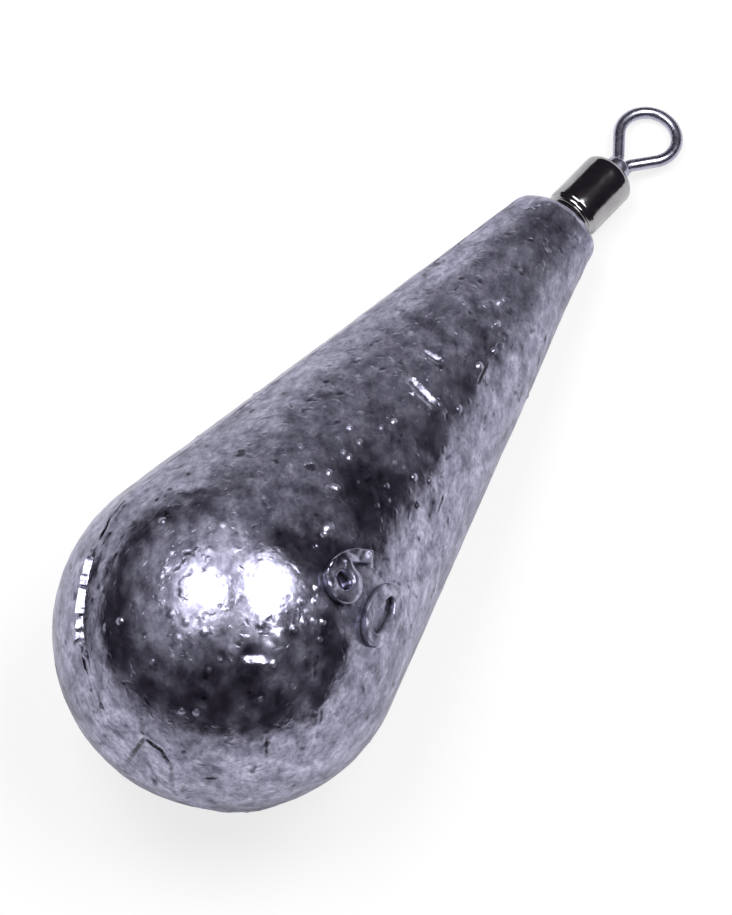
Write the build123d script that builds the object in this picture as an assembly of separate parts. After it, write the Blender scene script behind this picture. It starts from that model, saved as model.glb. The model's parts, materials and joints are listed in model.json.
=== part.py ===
from build123d import *
import math
import os

# A teardrop fishing sinker: a lead casting poured round a barrel swivel, lying on its flank.
# Each piece is drawn upright, with the casting's axis on Z and the bulb's centre at zero,
# and the whole assembly is then laid down. Lengths are millimetres, angles are degrees.

# Lead casting
bulb_diameter = 18.2
gate_diameter = 4.4
casting_length = 40.0
top_land = 0.185
shoulder_round = 0.9
flash_height = 0.12
flash_width = 0.3
parting_roll = 36.0

# Swivel barrel
barrel_diameter = 3.0
barrel_length = 7.2
barrel_wall = 0.4
barrel_set_depth = 2.9
lip_thickness = 0.6
lip_round = 0.45
foot_chamfer = 0.35
waist_width = 0.6
waist_depth = 0.16
swivel_lean = 5.2

# Wire eyes, one at each end of the barrel, with a many-sided section that stands for round wire
wire_diameter = 0.65
wire_sides = 10
eye_bore = 2.45
leg_angle = 36.0
leg_gap = 0.03
neck_cover = 0.035
neck_rise = 0.85
head_length = 0.9
head_chamfer = 0.3

# Clearances
running_clearance = 0.05
head_clearance = 0.1
end_play = 0.05

# Radii and places that follow from the sizes above
bulb_radius = bulb_diameter / 2
gate_z = -math.sqrt(bulb_radius**2 - (gate_diameter / 2) ** 2)
casting_top = casting_length + gate_z
barrel_radius = barrel_diameter / 2
barrel_foot = casting_top - barrel_set_depth
wire_radius = wire_diameter / 2
leg_offset = wire_radius + leg_gap / 2
neck_radius = leg_offset + wire_radius + neck_cover
mouth_radius = neck_radius + running_clearance
chamber_radius = barrel_radius - barrel_wall
head_radius = chamber_radius - head_clearance

# The cone touches the bulb and the round shoulder, whose centre stands a land's width off the barrel
shoulder_x = barrel_radius + top_land
shoulder_z = casting_top - shoulder_round
shoulder_reach = math.hypot(shoulder_x, shoulder_z)
cone_slope = math.asin((bulb_radius - shoulder_round) / shoulder_reach) - math.atan2(shoulder_x, shoulder_z)
cone_half_angle = math.degrees(cone_slope)

# The eye's line: a leg bends outwards by the leg angle and meets the round loop at its touch point
leg_slope = math.radians(leg_angle)
bend_radius = wire_diameter
loop_radius = eye_bore / 2 + wire_radius
bend_end_x = leg_offset + bend_radius * (1 - math.cos(leg_slope))
bend_end_z = neck_rise + bend_radius * math.sin(leg_slope)
touch_x = loop_radius * math.cos(leg_slope)
touch_z = bend_end_z + (touch_x - bend_end_x) / math.tan(leg_slope)
loop_z = touch_z + loop_radius * math.sin(leg_slope)


def spun(lines):
    """A solid of revolution about Z from a closed half section drawn on the XZ plane."""
    return revolve(Plane.XZ * make_face(lines), Axis.Z)


def casting_section(grow):
    """Half section of the teardrop, grown outwards: flat of the cut gate, bulb, tangent cone, shoulder."""
    gate_rim = math.degrees(math.asin(gate_z / (bulb_radius + grow)))
    bulb = CenterArc((0, 0), bulb_radius + grow, gate_rim, cone_half_angle - gate_rim)
    shoulder = CenterArc(
        (shoulder_x, shoulder_z), shoulder_round + grow, cone_half_angle, 90 - cone_half_angle
    )
    flank = Line(bulb @ 1, shoulder @ 0)
    closing = Polyline(shoulder @ 1, (0, casting_top + grow), (0, gate_z), bulb @ 0)
    return [bulb, flank, shoulder, closing]


def parting_flash():
    """The thin fin that the two halves of the mould leave all round the casting."""
    half = make_face(casting_section(flash_height))
    fin = extrude(Plane.XZ * half, flash_width / 2, both=True)
    turn = 90 + parting_roll
    return Rot(Z=turn) * fin + Rot(Z=turn + 180) * fin


def barrel_outside():
    """Outer line of the barrel: chamfered foot, rolled waist and the curled lip at the top."""
    waist_z = barrel_length / 2
    wall = Polyline(
        (barrel_radius - foot_chamfer, 0),
        (barrel_radius, foot_chamfer),
        (barrel_radius, waist_z - waist_width / 2),
        (barrel_radius - waist_depth, waist_z),
        (barrel_radius, waist_z + waist_width / 2),
        (barrel_radius, barrel_length - lip_round),
    )
    lip = CenterArc((barrel_radius - lip_round, barrel_length - lip_round), lip_round, 0, 90)
    return [wall, lip]


def barrel_block():
    """The barrel's outer shape filled in, which is the room that it takes up in the lead."""
    wall, lip = barrel_outside()
    closing = Polyline(lip @ 1, (0, barrel_length), (0, 0), wall @ 0)
    return spun([wall, lip, closing])


def barrel():
    """The barrel: a chamber for the two heads, closed down to a round mouth at each end."""
    wall, lip = barrel_outside()
    chamber_top = barrel_length - lip_thickness
    inside = Polyline(
        lip @ 1,
        (mouth_radius, barrel_length),
        (mouth_radius, chamber_top),
        (chamber_radius, chamber_top),
        (chamber_radius, lip_thickness),
        (mouth_radius, lip_thickness),
        (mouth_radius, 0),
        wall @ 0,
    )
    return spun([wall, lip, inside])


def eye_leg():
    """One leg of the eye, from inside the neck, round its bend and up to the loop."""
    foot = Line((leg_offset, neck_rise - wire_diameter), (leg_offset, neck_rise))
    bend = CenterArc((leg_offset + bend_radius, neck_rise), bend_radius, 180, -leg_angle)
    rise = Line(bend @ 1, (touch_x, touch_z))
    return [foot, bend, rise]


def eye():
    """One eye, with the barrel's end at zero: wire loop, round neck, and head inside the barrel."""
    leg = eye_leg()
    other_leg = mirror(leg, Plane.YZ).edges()
    loop = CenterArc((0, loop_z), loop_radius, -leg_angle, 180 + 2 * leg_angle)
    route = Plane.YZ * Wire([*leg, loop, *other_leg], sequenced=True)
    section = Plane(route @ 0, z_dir=route % 0) * RegularPolygon(wire_radius, wire_sides)
    wire = sweep(section, path=route)
    seat = -lip_thickness - end_play
    head_end = seat - head_length
    stem = Polyline(
        (0, head_end),
        (head_radius - head_chamfer, head_end),
        (head_radius, head_end + head_chamfer),
        (head_radius, seat),
        (neck_radius, seat),
        (neck_radius, neck_rise),
        (0, neck_rise),
        close=True,
    )
    return wire + spun(stem)


# The swivel stands on the casting's axis and leans a little, as it set in the mould
swivel = Pos(0, 0, barrel_foot) * Rot(X=swivel_lean)
swivel_barrel = swivel * barrel()
line_eye = swivel * Pos(0, 0, barrel_length) * eye()
anchor_eye = swivel * Rot(X=180) * eye()
lead_body = spun(casting_section(0)) + parting_flash() - swivel * barrel_block() - anchor_eye

# Laid on its flank: the cone's lowest line and the bulb rest on the ground, the eye points along X
upright = {
    "lead_body": lead_body,
    "swivel_barrel": swivel_barrel,
    "line_eye": line_eye,
    "anchor_eye": anchor_eye,
}
laid = Pos(0, 0, bulb_radius) * Rot(Y=90 + cone_half_angle)
middle = (laid * Compound(list(upright.values()))).bounding_box().center()
rest = Pos(-middle.X, -middle.Y, 0) * laid

os.makedirs("parts", exist_ok=True)
for name, shape in upright.items():
    export_step(rest * shape, f"parts/{name}.step")

eye_place = rest * swivel * Pos(0, 0, barrel_length + loop_z)
print("loop centre", eye_place.position, "swivel axis", eye_place.z_axis.direction)
print("loop normal", eye_place.x_axis.direction)
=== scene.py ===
import json
import math
import random

import bpy
from mathutils import Matrix, Vector, kdtree, noise


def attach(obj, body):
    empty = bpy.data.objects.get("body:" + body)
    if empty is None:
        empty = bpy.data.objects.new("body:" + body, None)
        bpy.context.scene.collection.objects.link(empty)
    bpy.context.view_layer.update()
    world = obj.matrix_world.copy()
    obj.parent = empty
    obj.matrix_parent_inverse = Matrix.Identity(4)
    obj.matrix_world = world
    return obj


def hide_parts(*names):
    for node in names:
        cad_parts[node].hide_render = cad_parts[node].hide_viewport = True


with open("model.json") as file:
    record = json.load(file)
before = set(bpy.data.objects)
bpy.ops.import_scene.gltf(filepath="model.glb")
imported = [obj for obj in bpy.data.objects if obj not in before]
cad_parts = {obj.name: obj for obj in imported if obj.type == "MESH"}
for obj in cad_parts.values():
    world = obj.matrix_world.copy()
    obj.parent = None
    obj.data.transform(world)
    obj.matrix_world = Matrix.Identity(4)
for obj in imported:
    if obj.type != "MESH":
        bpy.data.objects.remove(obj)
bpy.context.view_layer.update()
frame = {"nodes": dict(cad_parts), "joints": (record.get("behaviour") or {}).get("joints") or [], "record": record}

# A teardrop lead sinker cast round a small barrel swivel, lying on its flank.
# Turned pieces are drawn upright, as half outlines on the XZ plane, and then laid in the frame.
# The frame is in metres. A place on the skin is a height from the bulb's centre in millimetres
# and an angle round the casting's axis in degrees, 180 being the top of the lying sinker.
mm = 0.001

# Lead casting
bulb_radius = 9.1 * mm
gate_radius = 2.2 * mm
casting_length = 40.0 * mm
shoulder_round = 0.9 * mm
top_land = 0.185 * mm

# Uneven sinking of the skin as it cooled: name, size of the lumps and depth
skin_sinking = (
    ("slow_swell", 5.0 * mm, 0.10 * mm),
    ("skin_lumps", 1.5 * mm, 0.06 * mm),
    ("skin_grain", 0.6 * mm, 0.03 * mm),
)
# The skin sinks least at the parting line and the cuts: the share there, and how far off it is free
seam_hold = 0.15
seam_ease = 0.9 * mm
cut_hold = 0.3
cut_ease = 0.8 * mm

# Parting flash: a low broken fin all round the casting, that ends just above the gate
parting_angle = 126.0
flash_end_share = 0.995
flash_height = 0.06 * mm
flash_width = 0.12 * mm
flash_far_width = 0.12 * mm
flash_mean = 0.55
flash_swing = 0.9
flash_gap_size = 0.9 * mm
flash_gap_shift = Vector((7, 3, 1))

# Runs of taller flash beside the bulb: from and to, and the height at each end, in millimetres
tall_flash = (
    (-6.92, -5.83, 0.35, 0.27),
    (-5.81, -4.67, 0.34, 0.25),
    (-4.65, -3.12, 0.27, 0.27),
)
tall_flash_width = 0.31 * mm
tall_flash_steepness = 1.12
tall_flash_fade = 0.05 * mm
tall_flash_step = 0.4
chip_size = 0.3 * mm
chip_depth = 0.2

# Painted shade at the feet of the flash: how far out and how far it spreads, in widths of the flash
flash_foot = 1.3
near_foot_spread = 0.3
far_foot_spread = 0.6
# How dark the painted shade at the flash's feet is, its mean, and the size of its breaks
flash_foot_shade = 0.9
flash_foot_shade_mean = 0.3
flash_foot_shade_size = 1.1 * mm

# Nicks and creases in the skin: depth and half width in millimetres, how much painted shade lies in them, and the
# places along each
skin_cuts = (
    (0.19, 0.42, 0.1, ((14.95, 180.0), (14.65, 192.0), (14.45, 206.0))),
    (0.13, 0.28, 0.1, ((16.95, 176.0), (16.94, 185.0), (17.0, 194.0))),
    (0.20, 0.54, 0.0, ((-4.72, 198.8), (-4.3, 202.2), (-3.98, 205.1), (-3.25, 209.9))),
    (
        0.11, 0.16, 0.9,
        (
            (-8.93, 10.4), (-9.09, 10.4), (-9.09, 190.0), (-8.80, 191.5),
            (-8.74, 215.0), (-8.75, 243.0), (-8.69, 292.0),
        ),
    ),
    (0.09, 0.15, 0.95, ((-0.40, 124.9), (-0.85, 125.5), (-1.6, 126.4), (-2.5, 126.2))),
    (0.07, 0.12, 0.9, ((-5.78, 233.5), (-6.05, 240.0), (-6.18, 246.4))),
    (0.07, 0.12, 0.9, ((-8.23, 256.2), (-7.82, 255.7))),
    (0.06, 0.11, 0.7, ((-3.1, 236.0), (-3.6, 243.0))),
    (0.06, 0.11, 0.7, ((9.6, 232.0), (11.4, 229.0))),
    (0.05, 0.11, 0.7, ((17.5, 214.0), (19.2, 212.0))),
)
cut_spacing = 0.04 * mm
cut_end = 0.1
cut_fade = 3.0
# Painted shade in the cuts: how fast it spreads in from the edge, its mean, its swing and the size of its breaks
cut_shade_spread = 2.2
cut_shade_mean = 0.95
cut_shade_swing = 0.9
cut_shade_size = 0.35 * mm

# Pimples of the skin that stand out, by their places
skin_pimples = (
    (-0.76, 149.7), (-5.90, 150.0), (-5.59, 177.6), (-4.74, 185.0), (-3.04, 160.4), (-0.83, 211.6),
    (-1.9, 208.5), (4.12, 216.3), (15.6, 213.0), (10.2, 212.5), (-7.3, 205.0), (-7.6, 199.0),
    (-8.54, 131.3), (6.3, 190.0), (8.4, 186.0), (21.5, 203.0), (-0.54, 204.4), (0.0, 207.7),
    (-1.3, 209.3), (-0.5, 214.1), (0.6, 205.4), (-4.85, 170.4), (-4.8, 177.1), (-3.8, 211.5),
    (22.7, 195.8), (20.1, 211.5), (18.6, 208.8), (12.0, 190.9), (10.0, 177.8), (9.6, 185.1),
    (10.9, 220.0), (9.2, 221.2), (7.3, 168.5), (6.8, 183.9), (-2.85, 124.6), (-7.23, 128.4),
)
pimple_height = 0.14 * mm
pimple_radius = 0.25 * mm

# Low swellings of the skin: place, rise and radius in millimetres
skin_swellings = (
    (-3.45, 206.9, 0.12, 0.48),
    (-2.75, 206.2, 0.12, 0.48),
    (-2.0, 175.0, 0.06, 0.7),
    (3.98, 196.5, 0.13, 0.42),
)

# Smaller pimples scattered over the skin, fewer of them up the cone: heights and radii in millimetres
scattered_pimples = 300
scatter_seed = 11
scatter_heights = (-8.6, 29.0)
scatter_on_bulb = 8.0
scatter_kept = 1.15
scatter_thinning = 30.0
scatter_radii = (0.12, 0.25)
scatter_rise_share = 0.34
pit_share = 0.3
# Two smooth spots on top of the bulb stay free of them
smooth_spots = ((-3.0, 176.5), (-1.4, 193.0))
smooth_reach = 1.4 * mm

# Pimples are worn dull on top and carry painted shade round their feet, which are placed by shares of the radius
pimple_wear = 0.5
pimple_foot = 1.05
pimple_foot_spread = 0.4
pimple_reach = 1.6
pimple_foot_shade = 0.15

# How dull the skin is, from bright at 0 to hazy at 1, with the size and amount of each uneven pattern
mean_dullness = 0.46
uneven_dullness = ((4.5 * mm, 0.55), (1.6 * mm, 0.5), (0.7 * mm, 0.45))
# The cone is more even than the bulb: from which height, over how many millimetres, and by which share
calm_from = 2.0
calm_over = 4.0
calm_share = 0.6

# Where the skin is clean or dull: place, reach in millimetres, and how much duller it is there
dull_patches = (
    (-5.7, 207.0, 2.8, -0.75), (2.2, 203.5, 2.0, -0.75), (7.0, 204.0, 2.6, -0.75), (12.0, 207.0, 2.4, -0.5),
    (-7.4, 184.0, 2.0, -0.45), (-3.6, 186.0, 3.2, 0.40), (-3.0, 176.5, 1.5, -0.9), (-1.4, 193.0, 1.5, -0.9),
    (-3.4, 138.0, 1.4, -0.65), (-5.2, 141.0, 1.4, -0.65), (-6.9, 149.0, 1.5, -0.65), (-4.2, 203.5, 0.8, -0.8),
    (-1.9, 145.0, 1.5, -0.4), (-7.1, 160.0, 1.4, -0.4), (11.3, 187.0, 1.6, -0.3), (15.2, 189.0, 1.6, -0.2),
    (-2.0, 207.5, 0.9, -0.35), (-1.4, 229.0, 1.8, -0.45), (-0.4, 178.0, 1.9, 0.55), (-5.4, 178.0, 1.8, 0.55),
    (7.7, 172.0, 2.8, 0.30), (14.5, 171.0, 3.2, 0.32), (21.0, 182.0, 3.2, 0.22), (26.5, 190.0, 2.4, 0.3),
    (17.5, 211.0, 2.2, -0.35), (27.0, 208.0, 1.6, -0.25), (10.0, 229.0, 2.2, -0.35), (-3.9, 190.6, 1.1, -0.4),
    (-0.5, 138.7, 1.5, -0.5), (0.9, 181.4, 1.1, -0.45), (-4.9, 245.5, 1.7, -0.35), (-8.9, 236.0, 1.6, -0.35),
    (8.6, 188.0, 1.4, -0.35), (5.1, 228.4, 1.6, -0.3), (5.3, 196.3, 1.3, 0.4), (10.7, 199.9, 1.3, 0.4),
    (-2.1, 205.2, 1.0, -0.3),
)

# Where the skin is darkened all over, part tarnish and part painted shade that dims its reflections: place, reach
# in millimetres, and how dark it is there
tarnish_and_shade = (
    (3.0, 146.0, 2.6, 0.22), (7.5, 146.0, 3.0, 0.22), (13.0, 146.0, 3.2, 0.2), (19.0, 146.0, 3.2, 0.15),
    (27.5, 197.0, 3.2, 0.38), (-6.0, 116.0, 3.0, 0.1), (-1.5, 128.0, 1.8, 0.15), (-0.5, 140.0, 1.3, 0.25),
    (17.0, 222.0, 2.6, 0.1), (22.5, 218.0, 3.0, 0.18), (-5.7, 209.5, 2.2, 0.22), (7.0, 201.0, 1.8, 0.1),
    (-2.2, 213.0, 1.4, 0.12), (-5.2, 156.0, 1.8, 0.08), (0.6, 188.5, 0.9, 0.45), (0.5, 195.5, 0.8, 0.35),
    (-2.0, 206.0, 1.0, 0.25), (-0.5, 138.0, 1.4, 0.12), (14.2, 222.0, 1.4, 0.2), (8.6, 188.0, 1.3, 0.18),
)

# Weight mark, drawn flat with sizes in millimetres and then wrapped round the top of the bulb
mark_numerals = "60"
mark_height = 3.6
numeral_height_share = 0.7
mark_pitch = 1.22
mark_half_depth = 0.32
mark_edge_round = 0.1
mark_edge_rows = 4
mark_spread = 0.02
mark_grid = 0.07
mark_softening = 4
mark_soft_factor = 0.5
mark_relief = 0.36
mark_place = (2.4 * mm, math.radians(220.5))
mark_wear = 0.5
mark_wear_size = 0.7
mark_dullness = 0.4
# Painted shade at the feet of the numerals: how dark, and the lift above the skin at which it fades out
mark_foot_shade = 0.9
mark_foot_shade_reach = 0.2 * mm

# Swivel barrel
barrel_radius = 1.5 * mm
barrel_length = 7.2 * mm
barrel_set_depth = 2.9 * mm
chamber_radius = 1.1 * mm
mouth_radius = 0.75 * mm
mouth_round = 0.12 * mm
lip_thickness = 0.6 * mm
lip_round = 0.45 * mm
foot_chamfer = 0.35 * mm
waist_half_width = 0.3 * mm
waist_depth = 0.16 * mm
swivel_lean = math.radians(5.2)

# Wire eye, drawn a hair thin so that the round wire stays inside the frame's box
eye_bore_radius = 1.225 * mm
wire_radius = 0.325 * mm
wire_slack = 0.004 * mm
leg_slope = math.radians(36.0)
leg_half_gap = 0.015 * mm
neck_radius = 0.7 * mm
neck_rise = 0.85 * mm
neck_round = 0.25 * mm
head_radius = 1.0 * mm
head_length = 0.9 * mm
head_chamfer = 0.3 * mm
end_play = 0.05 * mm

# How finely the meshes are divided
casting_segments = 240
gate_rows = 9
bulb_rows = 58
cone_rows = 104
shoulder_rows = 10
socket_rows = 6
refine_reach = 0.45 * mm
refine_cuts = 2
flash_steps = 4
barrel_segments = 96
flat_rows = 2
chamfer_rows = 3
lower_wall_rows = 6
upper_wall_rows = 8
waist_rows = 16
lip_rows = 8
mouth_rows = 5
chamber_rows = 4
stem_segments = 48
neck_rows = 6
wire_sides = 24
foot_rows = 3
bend_rows = 8
leg_rows = 6
loop_rows = 72
merge_reach = 0.0005 * mm
smooth_angle = math.radians(40)
# Columns of points drawn together beside the parting line, as shares of the flash's width
seam_shares = (0.33, 0.67, 1.0, 1.3, 1.6)
seam_columns = 8
seam_end_radius = 0.3 * mm

# View: the picture's height and focus in pixels, and its right and away directions along the floor
photo_height = 915
photo_focus = 7710.0
view_turn = math.radians(55.87)
view_rise = math.radians(70.0)
view_distance = 0.4
sensor_width = 36.0
near_clip = 0.05
far_clip = 10.0
view_aim = (6.95 * mm, 11.18 * mm, 4.55 * mm)
view_right = Vector((math.cos(view_turn), -math.sin(view_turn), 0))
view_away = Vector((math.sin(view_turn), math.cos(view_turn), 0))

# Two soft oval lamps, about twice as far from the bulb as they are wide, by their directions in the view
lamp_directions = {"left_lamp": (-0.247, 0.192, 0.950), "right_lamp": (0.415, 0.178, 0.892)}
lamp_distance = 0.3
lamp_width = 0.145
lamp_length = 0.205
lamp_power = 0.68

# Studio: how much of the floor's own white each kind of ray sees, and the dim ceiling over the horizon
floor_size = 4.0
floor_colour = (0.9, 0.9, 0.9, 1)
floor_white = {"Is Camera Ray": 0.8, "Is Transmission Ray": 0.8, "Is Glossy Ray": 0.05}
white = (1, 1, 1, 1)
ceiling_colour = (0.0365, 0.0298, 0.0405, 1)
ceiling_start = 0.012

# Places that follow from the sizes
gate_z = -math.sqrt(bulb_radius**2 - gate_radius**2)
casting_top = casting_length + gate_z
shoulder_x = barrel_radius + top_land
shoulder_z = casting_top - shoulder_round
shoulder_reach = math.hypot(shoulder_x, shoulder_z)
cone_slope = math.asin((bulb_radius - shoulder_round) / shoulder_reach) - math.atan2(shoulder_x, shoulder_z)
barrel_foot = casting_top - barrel_set_depth
loop_radius = eye_bore_radius + wire_radius
leg_offset = wire_radius + leg_half_gap
bend_radius = 2 * wire_radius
bend_end_x = leg_offset + bend_radius * (1 - math.cos(leg_slope))
touch_x = loop_radius * math.cos(leg_slope)
touch_z = neck_rise + bend_radius * math.sin(leg_slope) + (touch_x - bend_end_x) / math.tan(leg_slope)
loop_z = touch_z + loop_radius * math.sin(leg_slope)

# The swivel's own frame comes from the joint and the mount, and the casting's from the swivel's foot
swivel_joint = frame["joints"][0]
swivel_axis = Vector(swivel_joint["axis"]).normalized()
loop_normal = -Vector(frame["record"]["mounts"][0]["axis"]).normalized()
loop_side = swivel_axis.cross(loop_normal)
swivel_foot = Vector(swivel_joint["pos_m"]) - swivel_axis * (barrel_length + loop_z)
casting_axis = Vector((math.cos(cone_slope), 0, -math.sin(cone_slope)))
bulb_centre = swivel_foot - casting_axis * barrel_foot
casting_place = Matrix.Translation(bulb_centre) @ Matrix.Rotation(math.pi / 2 + cone_slope, 4, "Y")
swivel_place = Matrix((loop_normal, loop_side, swivel_axis)).transposed().to_4x4()
swivel_place.translation = swivel_foot


def first_point(name, place):
    """A new piece with a single point, left open in edit mode."""
    bpy.ops.object.select_all(action="DESELECT")
    bpy.ops.mesh.primitive_plane_add(size=mm)
    piece = bpy.context.object
    piece.name = piece.data.name = name
    bpy.ops.object.mode_set(mode="EDIT")
    bpy.ops.mesh.select_mode(type="VERT")
    bpy.ops.mesh.merge(type="CENTER")
    bpy.ops.transform.translate(value=place)
    return piece


def line_by(across, up, rows=1):
    """Draws the outline on by a straight run, in even rows."""
    for _ in range(rows):
        bpy.ops.mesh.extrude_vertices_move(TRANSFORM_OT_translate={"value": (across / rows, 0, up / rows)})


def arc_by(angle, centre_x, centre_z, rows):
    """Draws the outline on round a centre, from +X towards +Z when the angle is positive."""
    bpy.ops.mesh.spin(steps=rows, angle=angle, center=(centre_x, 0, centre_z), axis=(0, 1, 0))


def turn_round(segments):
    """Turns the drawn outline about Z into a closed shape."""
    bpy.ops.mesh.select_all(action="SELECT")
    bpy.ops.mesh.spin(steps=segments, angle=2 * math.pi, center=(0, 0, 0), axis=(0, 0, 1))
    close_up()


def close_up():
    """Merges what meets, turns the faces outwards and leaves edit mode."""
    bpy.ops.mesh.select_all(action="SELECT")
    bpy.ops.mesh.remove_doubles(threshold=merge_reach)
    bpy.ops.mesh.normals_make_consistent(inside=False)
    bpy.ops.object.mode_set(mode="OBJECT")


def lay(piece, place):
    """Puts a finished piece in its place in the frame, with the place in its mesh."""
    bpy.ops.object.select_all(action="DESELECT")
    piece.select_set(True)
    bpy.context.view_layer.objects.active = piece
    piece.matrix_world = place
    bpy.ops.object.transform_apply(location=True, rotation=True, scale=True)
    bpy.ops.object.shade_smooth_by_angle(angle=smooth_angle)


def lead_casting():
    """The teardrop with its cut gate, parting flash, cuts, pimples and the socket of the barrel."""
    piece = first_point("lead_casting", (0, 0, gate_z))
    line_by(gate_radius, 0, gate_rows)
    gate_rim = math.asin(gate_z / bulb_radius)
    arc_by(cone_slope - gate_rim, 0, 0, bulb_rows)
    flank_x = shoulder_x + shoulder_round * math.cos(cone_slope) - bulb_radius * math.cos(cone_slope)
    flank_z = shoulder_z + shoulder_round * math.sin(cone_slope) - bulb_radius * math.sin(cone_slope)
    line_by(flank_x, flank_z, cone_rows)
    arc_by(math.pi / 2 - cone_slope, shoulder_x, shoulder_z, shoulder_rows)
    line_by(-top_land, 0)
    line_by(0, -barrel_set_depth, socket_rows)
    line_by(-barrel_radius, 0)
    turn_round(casting_segments)
    piece.rotation_euler.z = math.radians(parting_angle)
    bpy.ops.object.transform_apply(location=False, rotation=True, scale=False)
    lean_top(piece)
    gather_seam(piece)
    cuts = cut_places()
    cut_spots = [cut[0] for cut in cuts]
    pimples = pimple_places()
    refine(piece, cut_spots + [pimple[0] for pimple in pimples] + flash_places())
    free_skin(piece, place_tree(cut_spots))
    for name, size, depth in skin_sinking:
        lump(piece, name, size, depth)
    painted_shade = [0.0] * len(piece.data.vertices)
    worn = [0.0] * len(piece.data.vertices)
    raise_flash(piece, painted_shade)
    press_cuts(piece, cuts, painted_shade)
    raise_pimples(piece, pimples, painted_shade, worn)
    note_finish(piece, painted_shade, worn)
    lay(piece, casting_place)
    return piece


def on_skin(co):
    """Whether a point lies on the casting's outside and not in the barrel's socket."""
    return co.z < shoulder_z - barrel_set_depth or math.hypot(co.x, co.y) > shoulder_x


def skin_point(height, angle):
    """A point of the smooth casting, from its height in millimetres and its angle in degrees."""
    height = height * mm
    if height < bulb_radius * math.sin(cone_slope):
        radius = math.sqrt(bulb_radius**2 - height**2)
    else:
        radius = (bulb_radius / math.sin(cone_slope) - height) * math.tan(cone_slope)
    turn = math.radians(angle)
    return Vector((radius * math.cos(turn), radius * math.sin(turn), max(height, gate_z)))


def outward(co):
    """The direction straight out of the smooth casting at a place."""
    if co.z < bulb_radius * math.sin(cone_slope):
        return co.normalized()
    side = Vector((co.x, co.y, 0)).normalized()
    return side * math.cos(cone_slope) + Vector((0, 0, math.sin(cone_slope)))


def cut_places():
    """Close places along every nick and crease, each with its depth, half width and painted shade."""
    places = []
    for depth, half_width, shade_amount, route in skin_cuts:
        points = [skin_point(height, angle) for height, angle in route]
        lengths = [(b - a).length for a, b in zip(points, points[1:])]
        done = 0
        for a, b, length in zip(points, points[1:], lengths):
            for k in range(int(length / cut_spacing) + 1):
                along = (done + k * cut_spacing) / sum(lengths)
                fade = min(1, cut_fade * along + cut_end, cut_fade * (1 - along) + cut_end)
                place = a.lerp(b, k * cut_spacing / length)
                places.append((place, depth * fade * mm, half_width * mm, shade_amount * fade))
            done += length
    return places


def pimple_places():
    """The pimples that stand out, the swellings and the scattered ones, each with its height and radius."""
    chance = random.Random(scatter_seed)
    smooth_centres = [skin_point(height, angle) for height, angle in smooth_spots]
    places = [(skin_point(height, angle), pimple_height, pimple_radius) for height, angle in skin_pimples]
    for height, angle, rise, reach in skin_swellings:
        places.append((skin_point(height, angle), rise * mm, reach * mm))
    for _ in range(scattered_pimples):
        height = chance.uniform(*scatter_heights)
        if height > scatter_on_bulb and chance.random() > scatter_kept - height / scatter_thinning:
            height = chance.uniform(-scatter_on_bulb, scatter_on_bulb)
        size = chance.uniform(*scatter_radii)
        sunk = -1 if chance.random() < pit_share else 1
        place = skin_point(height, chance.uniform(0, 360))
        if all((place - centre).length > smooth_reach for centre in smooth_centres):
            places.append((place, sunk * scatter_rise_share * size * mm, size * mm))
    return places


def flash_places():
    """Places along the runs of taller flash."""
    return [
        skin_point(low + k * (high - low) / flash_steps, parting_angle)
        for low, high, _, _ in tall_flash
        for k in range(flash_steps + 1)
    ]


def place_tree(places):
    """A search tree that finds the nearest of some places."""
    tree = kdtree.KDTree(len(places))
    for index, place in enumerate(places):
        tree.insert(place, index)
    tree.balance()
    return tree


def lean_top(piece):
    """Lets the shoulder and the socket follow the leaning barrel."""
    for v in piece.data.vertices:
        rise = (v.co.z - shoulder_z) / shoulder_round
        in_socket = math.hypot(v.co.x, v.co.y) < barrel_radius + top_land / 2
        if in_socket and v.co.z > shoulder_z - barrel_set_depth:
            share = 1
        else:
            share = min(max(rise, 0), 1)
        v.co.y -= share * (v.co.z - barrel_foot) * math.tan(swivel_lean)


def seam_side(co):
    """Signed distance of a point from the parting plane, and the unit vector across that plane."""
    angle = math.radians(parting_angle)
    across = Vector((-math.sin(angle), math.cos(angle), 0))
    return co.dot(across), across


def gather_seam(piece):
    """Draws the columns of points beside the parting line together, so that the thin flash has its own."""
    step = 2 * math.pi / casting_segments
    gathered = len(seam_shares)
    for v in piece.data.vertices:
        radius = math.hypot(v.co.x, v.co.y)
        if radius < seam_end_radius or v.co.z > shoulder_z:
            continue
        off, across = seam_side(v.co)
        column = abs(round(math.asin(max(-1, min(1, off / radius))) / step))
        if not 0 < column < seam_columns:
            continue
        width = tall_flash_width if off > 0 else flash_far_width
        if column <= gathered:
            wanted = width * seam_shares[column - 1]
        else:
            inner = width * seam_shares[-1]
            edge = radius * math.sin(step * seam_columns)
            wanted = inner + (edge - inner) * (column - gathered) / (seam_columns - gathered)
        side = math.copysign(min(wanted, radius * math.sin(step * column)), off)
        along = v.co - across * off
        flat = Vector((along.x, along.y, 0)).normalized() * math.sqrt(radius**2 - side**2)
        v.co = flat + across * side + Vector((0, 0, v.co.z))


def refine(piece, places):
    """Divides the faces round the small marks, so that the mesh has points enough for them."""
    tree = place_tree(places)
    bpy.ops.object.mode_set(mode="EDIT")
    bpy.ops.mesh.select_mode(type="FACE")
    bpy.ops.mesh.select_all(action="DESELECT")
    bpy.ops.object.mode_set(mode="OBJECT")
    for face in piece.data.polygons:
        face.select = on_skin(face.center) and tree.find(face.center)[2] < refine_reach
    bpy.ops.object.mode_set(mode="EDIT")
    bpy.ops.mesh.subdivide(number_cuts=refine_cuts)
    bpy.ops.object.mode_set(mode="OBJECT")


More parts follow.
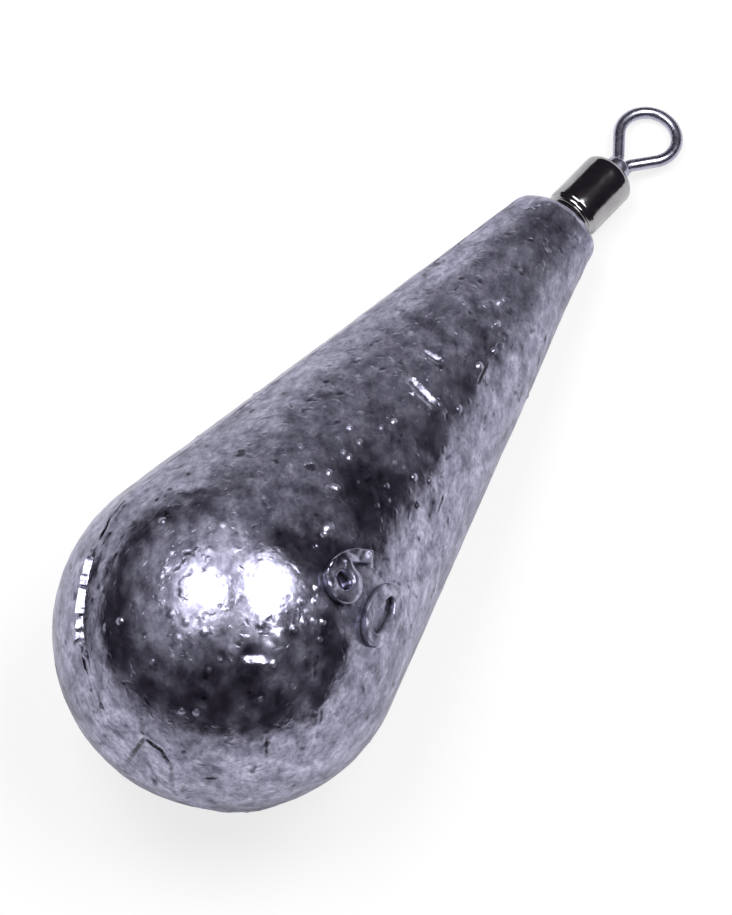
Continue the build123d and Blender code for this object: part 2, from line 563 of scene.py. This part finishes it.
def free_skin(piece, cut_tree):
    """Marks how freely the skin may sink: not in the socket, and little beside the seam and the cuts."""
    skin = piece.vertex_groups.new(name="skin")
    for v in piece.data.vertices:
        if on_skin(v.co):
            off = abs(seam_side(v.co)[0])
            share = min(1, seam_hold + off / seam_ease, cut_hold + cut_tree.find(v.co)[2] / cut_ease)
            skin.add([v.index], share, "REPLACE")


def lump(piece, name, size, depth):
    """Lets the free skin sink unevenly, as a casting does when it cools."""
    pattern = bpy.data.textures.new(name, "CLOUDS")
    pattern.noise_scale = size
    pattern.noise_depth = 2
    sink = piece.modifiers.new(name, "DISPLACE")
    sink.texture = pattern
    sink.texture_coords = "LOCAL"
    sink.strength = depth
    sink.mid_level = 1.0
    sink.vertex_group = "skin"
    bpy.ops.object.modifier_apply(modifier=name)


def flash_at(co):
    """Height and near width of the flash at a place on the parting line: low and broken, and tall in runs."""
    broken = flash_mean + flash_swing * noise.noise(co / flash_gap_size + flash_gap_shift)
    height = flash_height * min(max(broken, 0), 1)
    width = flash_width
    for low, high, low_height, high_height in tall_flash:
        inside = min(co.z - low * mm, high * mm - co.z) / tall_flash_fade
        if co.y > 0 and inside > 0:
            along = (co.z / mm - low) / (high - low)
            whole = low_height + (high_height - low_height) * along
            chipped = 1 + chip_depth * noise.noise(co / chip_size)
            height = whole * mm * min(tall_flash_step + (1 - tall_flash_step) * inside, 1) * chipped
            width = height / tall_flash_steepness
    return height, width


def raise_flash(piece, painted_shade):
    """Raises the broken fin that the halves of the mould left, with painted shade at its feet."""
    above_gate = gate_z * flash_end_share
    for v in piece.data.vertices:
        off, across = seam_side(v.co)
        if abs(off) > 2 * tall_flash_width or v.co.z > shoulder_z or v.co.z < above_gate:
            continue
        height, near_width = flash_at(v.co - across * off)
        share = 1 - off / near_width if off > 0 else 1 + off / flash_far_width
        near_foot = 1 - abs(off / tall_flash_width - flash_foot) / near_foot_spread
        far_foot = 1 - abs(off / flash_far_width + flash_foot) / far_foot_spread
        # Painted shade at both feet of the fin, broken up, and darker where the fin is taller
        shade_amount = flash_foot_shade_mean + noise.noise(v.co / flash_foot_shade_size) + height / mm
        painted_shade[v.index] = max(0, near_foot, far_foot) * flash_foot_shade * min(1, max(0, shade_amount))
        v.co += outward(v.co) * height * max(share, 0)


def press_cuts(piece, cuts, painted_shade):
    """Presses the nicks and creases in, with straight walls and broken painted shade in the narrow ones."""
    tree = place_tree([cut[0] for cut in cuts])
    for v in piece.data.vertices:
        _, index, far = tree.find(v.co)
        _, depth, half_width, shade_amount = cuts[index]
        inside = 1 - far / half_width
        if inside > 0:
            v.co -= outward(v.co) * depth * inside
            # Painted shade in the cut, broken up
            broken = min(1, cut_shade_mean + cut_shade_swing * noise.noise(v.co / cut_shade_size))
            painted_shade[v.index] = max(painted_shade[v.index], shade_amount * min(1, cut_shade_spread * inside) * broken)


def raise_pimples(piece, pimples, painted_shade, worn):
    """Raises small round pimples, worn on top and with painted shade round their feet, and sinks a few as pits."""
    tree = place_tree([pimple[0] for pimple in pimples])
    for v in piece.data.vertices:
        _, index, far = tree.find(v.co)
        _, height, radius = pimples[index]
        if far < pimple_reach * radius and on_skin(v.co):
            share = max(0, 1 - (far / radius) ** 2)
            v.co += outward(v.co) * height * share**2
            worn[v.index] = pimple_wear * share
            # Painted shade in a ring round the pimple's foot
            foot = 1 - abs(far / radius - pimple_foot) / pimple_foot_spread
            painted_shade[v.index] = max(painted_shade[v.index], pimple_foot_shade * foot)


def patch_sum(co, start, patches):
    """A finish value at a point: its start and the soft patches round it added up."""
    amount = start
    for centre, reach, change in patches:
        amount += change * math.exp(-((co - centre).length / reach) ** 2)
    return amount


def note_finish(piece, painted_shade, worn):
    """Notes on each point how dull the skin is there, and how much painted shade and tarnish darken it."""
    clean_or_dull = [(skin_point(h, a), reach * mm, amount) for h, a, reach, amount in dull_patches]
    darker_patches = [(skin_point(h, a), reach * mm, amount) for h, a, reach, amount in tarnish_and_shade]
    dull = piece.data.attributes.new("dullness", "FLOAT", "POINT")
    for v, value in zip(piece.data.vertices, dull.data):
        uneven = 0
        for size, amount in uneven_dullness:
            uneven += amount * noise.noise(v.co / size)
        calm = min(max((v.co.z / mm - calm_from) / calm_over, 0), 1)
        start = mean_dullness + worn[v.index] + uneven * (1 - calm_share * calm)
        value.value = min(max(patch_sum(v.co, start, clean_or_dull), 0), 1)
    shade_amount = piece.data.attributes.new("painted_shade", "FLOAT", "POINT")
    for v, value, start in zip(piece.data.vertices, shade_amount.data, painted_shade):
        value.value = min(patch_sum(v.co, start, darker_patches), 1)


def flat_numerals():
    """The weight in grams as thick, soft-edged plain numerals, lying flat at 1 unit to the millimetre."""
    bpy.ops.object.select_all(action="DESELECT")
    bpy.ops.object.text_add()
    piece = bpy.context.object
    piece.name = "weight_mark"
    piece.data.body = mark_numerals
    piece.data.size = mark_height / numeral_height_share
    piece.data.space_character = mark_pitch
    piece.data.align_x = "CENTER"
    piece.data.align_y = "CENTER"
    piece.data.extrude = mark_half_depth
    piece.data.bevel_depth = mark_edge_round
    piece.data.bevel_resolution = mark_edge_rows
    piece.data.offset = mark_spread
    bpy.ops.object.convert(target="MESH")
    piece.data.name = "weight_mark"
    even = piece.modifiers.new("even", "REMESH")
    even.mode = "VOXEL"
    even.voxel_size = mark_grid
    bpy.ops.object.modifier_apply(modifier="even")
    soften = piece.modifiers.new("soften", "SMOOTH")
    soften.factor = mark_soft_factor
    soften.iterations = mark_softening
    bpy.ops.object.modifier_apply(modifier="soften")
    return piece


def weight_mark():
    """The raised numerals, wrapped round the top of the bulb and unevenly worn."""
    piece = flat_numerals()
    mark_z, mark_angle = mark_place
    tangent = bulb_radius * cone_slope
    start = bulb_radius * math.asin(mark_z / bulb_radius)
    sunk = mark_half_depth + mark_edge_round - mark_relief
    painted_shade = []
    for v in piece.data.vertices:
        run = start + v.co.y * mm
        lift = (v.co.z - sunk) * mm
        lift *= 1 + mark_wear * noise.noise(v.co / mark_wear_size)
        slope = min(run, tangent) / bulb_radius
        past = max(run - tangent, 0)
        radius = bulb_radius * math.cos(slope) - past * math.sin(cone_slope) + lift * math.cos(slope)
        rise = bulb_radius * math.sin(slope) + past * math.cos(cone_slope) + lift * math.sin(slope)
        angle = mark_angle + v.co.x * mm / bulb_radius
        v.co = (radius * math.cos(angle), radius * math.sin(angle), rise)
        # Painted shade darkens the numerals where they meet the skin
        painted_shade.append(mark_foot_shade * min(1, max(0, 1 - lift / mark_foot_shade_reach)))
    note_finish(piece, painted_shade, [mark_dullness] * len(painted_shade))
    lay(piece, casting_place)
    return piece


def barrel_shell():
    """The rolled barrel with its waist, curled lips and the chamber for the heads."""
    piece = first_point("barrel_shell", (mouth_radius, 0, 0))
    line_by(barrel_radius - foot_chamfer - mouth_radius, 0, flat_rows)
    line_by(foot_chamfer, foot_chamfer, chamfer_rows)
    waist_start = barrel_length / 2 - waist_half_width
    line_by(0, waist_start - foot_chamfer, lower_wall_rows)
    for row in range(waist_rows):
        dip = math.cos(2 * math.pi * (row + 1) / waist_rows) - math.cos(2 * math.pi * row / waist_rows)
        line_by(waist_depth * dip / 2, 2 * waist_half_width / waist_rows)
    line_by(0, barrel_length - lip_round - waist_start - 2 * waist_half_width, upper_wall_rows)
    arc_by(math.pi / 2, barrel_radius - lip_round, barrel_length - lip_round, lip_rows)
    line_by(mouth_radius + mouth_round - barrel_radius + lip_round, 0, flat_rows)
    arc_by(math.pi / 2, mouth_radius + mouth_round, barrel_length - mouth_round, mouth_rows)
    line_by(0, mouth_round - lip_thickness, flat_rows)
    line_by(chamber_radius - mouth_radius, 0, flat_rows)
    line_by(0, 2 * lip_thickness - barrel_length, chamber_rows)
    line_by(mouth_radius - chamber_radius, 0, flat_rows)
    line_by(0, -lip_thickness, flat_rows)
    turn_round(barrel_segments)
    lay(piece, swivel_place)
    return piece


def run_wire(direction, length, rows):
    """Draws the open ring of wire on by a straight run."""
    step = Vector(direction) * length / rows
    for _ in range(rows):
        bpy.ops.mesh.extrude_region_move(TRANSFORM_OT_translate={"value": step})


def bend_wire(angle, centre_y, centre_z, rows):
    """Draws the open ring of wire on round a bend, from +Y towards +Z when the angle is positive."""
    bpy.ops.mesh.spin(steps=rows, angle=-angle, center=(0, centre_y, centre_z), axis=(1, 0, 0))


def eye_stem():
    """The round neck of the eye, with its upset head inside the barrel."""
    piece = first_point("eye_stem", (0, 0, -lip_thickness - end_play - head_length))
    line_by(head_radius - head_chamfer, 0, flat_rows)
    line_by(head_chamfer, head_chamfer, chamfer_rows)
    line_by(0, head_length - head_chamfer, flat_rows)
    line_by(neck_radius - head_radius, 0, flat_rows)
    line_by(0, lip_thickness + end_play + neck_rise - neck_round, neck_rows)
    arc_by(math.pi / 2, neck_radius - neck_round, neck_rise - neck_round, neck_rows)
    line_by(neck_round - neck_radius, 0, flat_rows)
    turn_round(stem_segments)
    return piece


def eye_wire():
    """The line eye: a loop of round wire whose legs run into the neck."""
    stem = eye_stem()
    bpy.ops.object.select_all(action="DESELECT")
    foot_z = neck_rise - 2 * wire_radius
    foot = (0, leg_offset, foot_z)
    bpy.ops.mesh.primitive_circle_add(vertices=wire_sides, radius=wire_radius - wire_slack, location=foot)
    piece = bpy.context.object
    piece.name = piece.data.name = "eye_wire"
    bpy.ops.object.transform_apply(location=True, rotation=False, scale=False)
    bpy.ops.object.mode_set(mode="EDIT")
    bpy.ops.mesh.select_all(action="SELECT")
    leg_length = (touch_x - bend_end_x) / math.sin(leg_slope)
    turn_centre = leg_offset + bend_radius
    run_wire((0, 0, 1), neck_rise - foot_z, foot_rows)
    bend_wire(-leg_slope, turn_centre, neck_rise, bend_rows)
    run_wire((0, math.sin(leg_slope), math.cos(leg_slope)), leg_length, leg_rows)
    bend_wire(math.pi + 2 * leg_slope, 0, loop_z, loop_rows)
    run_wire((0, math.sin(leg_slope), -math.cos(leg_slope)), leg_length, leg_rows)
    bend_wire(-leg_slope, -turn_centre, neck_rise, bend_rows)
    run_wire((0, 0, -1), neck_rise - foot_z, foot_rows)
    bpy.ops.mesh.select_all(action="SELECT")
    bpy.ops.mesh.fill_holes(sides=0)
    close_up()
    bpy.ops.object.select_all(action="DESELECT")
    stem.select_set(True)
    piece.select_set(True)
    bpy.context.view_layer.objects.active = piece
    bpy.ops.object.join()
    lay(piece, swivel_place @ Matrix.Translation((0, 0, barrel_length)))
    return piece


class Finish:
    """A material whose patterns read the piece's own place, with short ways to add its nodes."""

    def __init__(self, name):
        self.material = bpy.data.materials.new(name)
        self.material.use_nodes = True
        self.tree = self.material.node_tree
        self.shader = self.tree.nodes["Principled BSDF"]
        self.place = self.tree.nodes.new("ShaderNodeTexCoord").outputs["Object"]

    def join(self, value, socket):
        self.tree.links.new(value, socket)

    def drive(self, name, value):
        """Lets a pattern set one of the shader's sockets."""
        self.join(value, self.shader.inputs[name])

    def noted(self, name):
        """A value noted on the points of the mesh."""
        node = self.tree.nodes.new("ShaderNodeAttribute")
        node.attribute_name = name
        return node.outputs["Fac"]

    def drawn_out(self, turn, stretch):
        """The place drawn out along a level direction, so that a pattern there runs in streaks."""
        node = self.tree.nodes.new("ShaderNodeMapping")
        node.vector_type = "TEXTURE"
        node.inputs["Rotation"].default_value = (0, 0, turn)
        node.inputs["Scale"].default_value = (stretch, 1, 1)
        self.join(self.place, node.inputs["Vector"])
        return node.outputs["Vector"]

    def cloud(self, size, detail=3.0, rough=0.55, warp=0.0, place=None):
        """A cloudy pattern with lumps of a size."""
        node = self.tree.nodes.new("ShaderNodeTexNoise")
        node.inputs["Scale"].default_value = 1 / size
        node.inputs["Detail"].default_value = detail
        node.inputs["Roughness"].default_value = rough
        node.inputs["Distortion"].default_value = warp
        self.join(place or self.place, node.inputs["Vector"])
        return node.outputs["Fac"]

    def spread(self, value, low, high, to_low, to_high):
        """A value whose range from low to high becomes another range."""
        node = self.tree.nodes.new("ShaderNodeMapRange")
        for name, number in (("From Min", low), ("From Max", high), ("To Min", to_low), ("To Max", to_high)):
            node.inputs[name].default_value = number
        self.join(value, node.inputs["Value"])
        return node.outputs["Result"]

    def tint(self, value, *stops):
        """A colour from a value, between stops that each have a spot and a colour."""
        node = self.tree.nodes.new("ShaderNodeValToRGB")
        ramp = node.color_ramp.elements
        while len(ramp) < len(stops):
            ramp.new(1.0)
        for element, (spot, colour) in zip(ramp, stops):
            element.position = spot
            element.color = (*colour, 1)
        self.join(value, node.inputs["Fac"])
        return node.outputs["Color"]

    def mix(self, kind, share, first, second):
        """Two colours mixed, each of the three values being a pattern or a constant."""
        node = self.tree.nodes.new("ShaderNodeMix")
        node.data_type = "RGBA"
        node.blend_type = kind
        for socket, value in ((node.inputs[0], share), (node.inputs[6], first), (node.inputs[7], second)):
            if isinstance(value, (float, tuple)):
                socket.default_value = value
            else:
                self.join(value, socket)
        return node.outputs[2]

    def shaded(self, colour, value, dark_spot, dark, light_spot):
        """A colour darkened where a value is low."""
        return self.mix("MULTIPLY", 1.0, colour, self.tint(value, (dark_spot, dark), (light_spot, white[:3])))

    def relief(self, height, depth, under=None, strength=None):
        """The normals of a small relief, over those of another."""
        node = self.tree.nodes.new("ShaderNodeBump")
        node.inputs["Strength"].default_value = 1.0
        node.inputs["Distance"].default_value = depth
        self.join(height, node.inputs["Height"])
        if under:
            self.join(under, node.inputs["Normal"])
        if strength:
            self.join(strength, node.inputs["Strength"])
        return node.outputs["Normal"]


def bright_cast_lead():
    """Cast lead: a bright bluish metal skin, mottled, streaked, pitted and hazed over in patches, darkened by
    painted shade in its pits, creases and round the feet of its flash, pimples and numerals.
    """
    dark_lead = (0.20, 0.199, 0.27)
    plain_lead = (0.375, 0.37, 0.488)
    light_lead = (0.58, 0.575, 0.725)
    streak_shade = (0.64, 0.64, 0.66)
    speck_shade = (0.74, 0.74, 0.75)
    painted_pit_shade = (0.28, 0.28, 0.30)
    painted_shade_black = (0.025, 0.024, 0.03, 1.0)
    edge_tint = (0.78, 0.78, 0.82, 1.0)
    streak_turn = math.radians(34)
    streak_stretch = 2.2
    mottle_size = 1.3 * mm
    streak_size = 0.42 * mm
    speck_size = 0.2 * mm
    pimple_size = 0.55 * mm
    pit_size = 0.7 * mm
    wave_size = 0.9 * mm
    grain_size = 0.25 * mm
    wave_depth = 0.02 * mm
    grain_depth = 0.006 * mm
    pimple_depth = 0.034 * mm
    pit_depth = 0.028 * mm

    lead = Finish("bright_cast_lead")
    haze = lead.noted("dullness")
    mottle = lead.cloud(mottle_size, detail=5.0, rough=0.62, warp=0.5)
    colour = lead.tint(mottle, (0.33, dark_lead), (0.5, plain_lead), (0.67, light_lead))
    along = lead.drawn_out(streak_turn, streak_stretch)
    streaks = lead.cloud(streak_size, detail=2.5, rough=0.55, warp=0.2, place=along)
    colour = lead.shaded(colour, streaks, 0.36, streak_shade, 0.58)
    specks = lead.cloud(speck_size, detail=2.0, rough=0.6)
    colour = lead.shaded(colour, specks, 0.36, speck_shade, 0.6)
    pimple_cloud = lead.cloud(pimple_size, detail=1.5, rough=0.5, warp=0.2)
    pimples = lead.spread(pimple_cloud, 0.62, 0.78, 0.0, 1.0)
    pit_cloud = lead.cloud(pit_size, detail=1.5, rough=0.5, warp=0.2)
    pits = lead.spread(pit_cloud, 0.22, 0.37, 0.0, 1.0)
    # Painted shade darkens the colour in the pits
    colour = lead.shaded(colour, pits, 0.2, painted_pit_shade, 0.9)
    # Painted shade and tarnish, noted on the points, darken the colour towards black
    lead.drive("Base Color", lead.mix("MIX", lead.noted("painted_shade"), colour, painted_shade_black))
    lead.drive("Metallic", lead.spread(haze, 0.0, 1.0, 0.985, 0.64))
    lead.drive("Roughness", lead.spread(haze, 0.0, 1.0, 0.19, 0.41))
    lead.shader.inputs["Specular Tint"].default_value = edge_tint
    rough = lead.spread(haze, 0.05, 0.5, 0.25, 1.0)
    waves = lead.relief(lead.cloud(wave_size, detail=2.0, rough=0.5, warp=0.6), wave_depth)
    grain = lead.relief(lead.cloud(grain_size, detail=3.0, rough=0.6), grain_depth, waves, rough)
    raised = lead.relief(pimples, pimple_depth, grain, rough)
    lead.drive("Normal", lead.relief(pits, pit_depth, raised, rough))
    return lead.material


def rubbed_metal(name, rub_size, dark, light, gloss_size, smooth, rough, grain_size, grain_depth):
    """A plain metal, rubbed a little lighter in places, with uneven gloss and a fine grain."""
    metal = Finish(name)
    rubbed = metal.cloud(rub_size, detail=5.0, rough=0.6)
    metal.drive("Base Color", metal.tint(rubbed, (0.35, dark), (0.65, light)))
    metal.shader.inputs["Metallic"].default_value = 1.0
    metal.drive("Roughness", metal.spread(metal.cloud(gloss_size), 0.3, 0.7, smooth, rough))
    metal.drive("Normal", metal.relief(metal.cloud(grain_size), grain_depth))
    return metal.material


def dark_nickel_plate():
    """The barrel's warm dark nickel plate."""
    return rubbed_metal(
        "dark_nickel_plate",
        rub_size=1.2 * mm,
        dark=(0.275, 0.268, 0.275),
        light=(0.365, 0.358, 0.37),
        gloss_size=0.5 * mm,
        smooth=0.11,
        rough=0.17,
        grain_size=0.35 * mm,
        grain_depth=0.006 * mm,
    )


def bright_drawn_wire():
    """The eyes' bright drawn steel wire."""
    return rubbed_metal(
        "bright_drawn_wire",
        rub_size=0.6 * mm,
        dark=(0.32, 0.32, 0.40),
        light=(0.41, 0.41, 0.51),
        gloss_size=0.3 * mm,
        smooth=0.24,
        rough=0.34,
        grain_size=0.12 * mm,
        grain_depth=0.002 * mm,
    )


def studio_floor():
    """A wide pale floor that stays white to the eye, and still takes the shadow."""
    bpy.ops.object.select_all(action="DESELECT")
    bpy.ops.mesh.primitive_plane_add(size=floor_size)
    floor = bpy.context.object
    floor.name = "studio_floor"
    material = bpy.data.materials.new("pale_floor")
    material.use_nodes = True
    tree = material.node_tree
    tree.nodes.clear()
    out = tree.nodes.new("ShaderNodeOutputMaterial")
    paper = tree.nodes.new("ShaderNodeBsdfDiffuse")
    paper.inputs["Color"].default_value = floor_colour
    glow = tree.nodes.new("ShaderNodeEmission")
    glow.inputs["Color"].default_value = white
    glow.inputs["Strength"].default_value = 1.0
    path = tree.nodes.new("ShaderNodeLightPath")
    share = None
    for kind, amount in floor_white.items():
        part = tree.nodes.new("ShaderNodeMath")
        part.operation = "MULTIPLY"
        part.inputs[1].default_value = amount
        tree.links.new(path.outputs[kind], part.inputs[0])
        if share:
            most = tree.nodes.new("ShaderNodeMath")
            most.operation = "MAXIMUM"
            tree.links.new(share, most.inputs[0])
            tree.links.new(part.outputs[0], most.inputs[1])
            share = most.outputs[0]
        else:
            share = part.outputs[0]
    blend = tree.nodes.new("ShaderNodeMixShader")
    tree.links.new(share, blend.inputs[0])
    tree.links.new(paper.outputs[0], blend.inputs[1])
    tree.links.new(glow.outputs[0], blend.inputs[2])
    tree.links.new(blend.outputs[0], out.inputs["Surface"])
    floor.data.materials.append(material)


def studio_world():
    """A dim ceiling over a thin white line at the horizon."""
    world = bpy.data.worlds.new("studio")
    bpy.context.scene.world = world
    world.use_nodes = True
    tree = world.node_tree
    sky = tree.nodes["Background"]
    height = tree.nodes.new("ShaderNodeSeparateXYZ")
    ramp = tree.nodes.new("ShaderNodeValToRGB")
    horizon, ceiling = ramp.color_ramp.elements
    horizon.position = 0.0
    horizon.color = white
    ceiling.position = ceiling_start
    ceiling.color = ceiling_colour
    tree.links.new(tree.nodes.new("ShaderNodeTexCoord").outputs["Generated"], height.inputs[0])
    tree.links.new(height.outputs["Z"], ramp.inputs["Fac"])
    tree.links.new(ramp.outputs["Color"], sky.inputs["Color"])


def from_view(right, away, up):
    """A direction or an offset given in the view's right and away and the frame's up."""
    return view_right * right + view_away * away + Vector((0, 0, up))


def lamp(name, towards):
    """A soft oval lamp near the sinker, so that its light falls off along the floor."""
    data = bpy.data.lights.new(name, "AREA")
    data.shape = "ELLIPSE"
    data.size = lamp_width
    data.size_y = lamp_length
    data.energy = lamp_power
    shine = bpy.data.objects.new(name, data)
    bpy.context.scene.collection.objects.link(shine)
    back = towards.normalized()
    across = view_away.cross(back).normalized()
    shine.rotation_euler = Matrix((across, back.cross(across), back)).transposed().to_euler()
    shine.location = bulb_centre + back * lamp_distance


def camera():
    """The camera, high over the bulb's end, with the eye away to the right."""
    data = bpy.data.cameras.new("camera")
    data.sensor_width = sensor_width
    data.lens = photo_focus / photo_height * sensor_width
    data.clip_start = near_clip
    data.clip_end = far_clip
    viewer = bpy.data.objects.new("camera", data)
    bpy.context.scene.collection.objects.link(viewer)
    under_bulb = Vector((bulb_centre.x, bulb_centre.y, 0))
    aim = under_bulb + from_view(*view_aim)
    back = from_view(0, -math.cos(view_rise), math.sin(view_rise))
    viewer.location = aim + back * view_distance
    viewer.rotation_euler = (-back).to_track_quat("-Z", "Y").to_euler()
    bpy.context.scene.camera = viewer


lead = bright_cast_lead()
plate = dark_nickel_plate()
wire = bright_drawn_wire()

casting = lead_casting()
casting.data.materials.append(lead)
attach(casting, "sinker")
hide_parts("lead_body")

mark = weight_mark()
mark.data.materials.append(lead)
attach(mark, "sinker")

barrel = barrel_shell()
barrel.data.materials.append(plate)
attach(barrel, "sinker")
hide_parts("swivel_barrel")

eye = eye_wire()
eye.data.materials.clear()
eye.data.materials.append(wire)
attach(eye, "eye")
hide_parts("line_eye")

hidden_eye = frame["nodes"]["anchor_eye"]
hidden_eye.data.materials.clear()
hidden_eye.data.materials.append(wire)

studio_floor()
studio_world()
for lamp_name, direction in lamp_directions.items():
    lamp(lamp_name, from_view(*direction))
camera()

bpy.context.scene.view_settings.view_transform = "Standard"
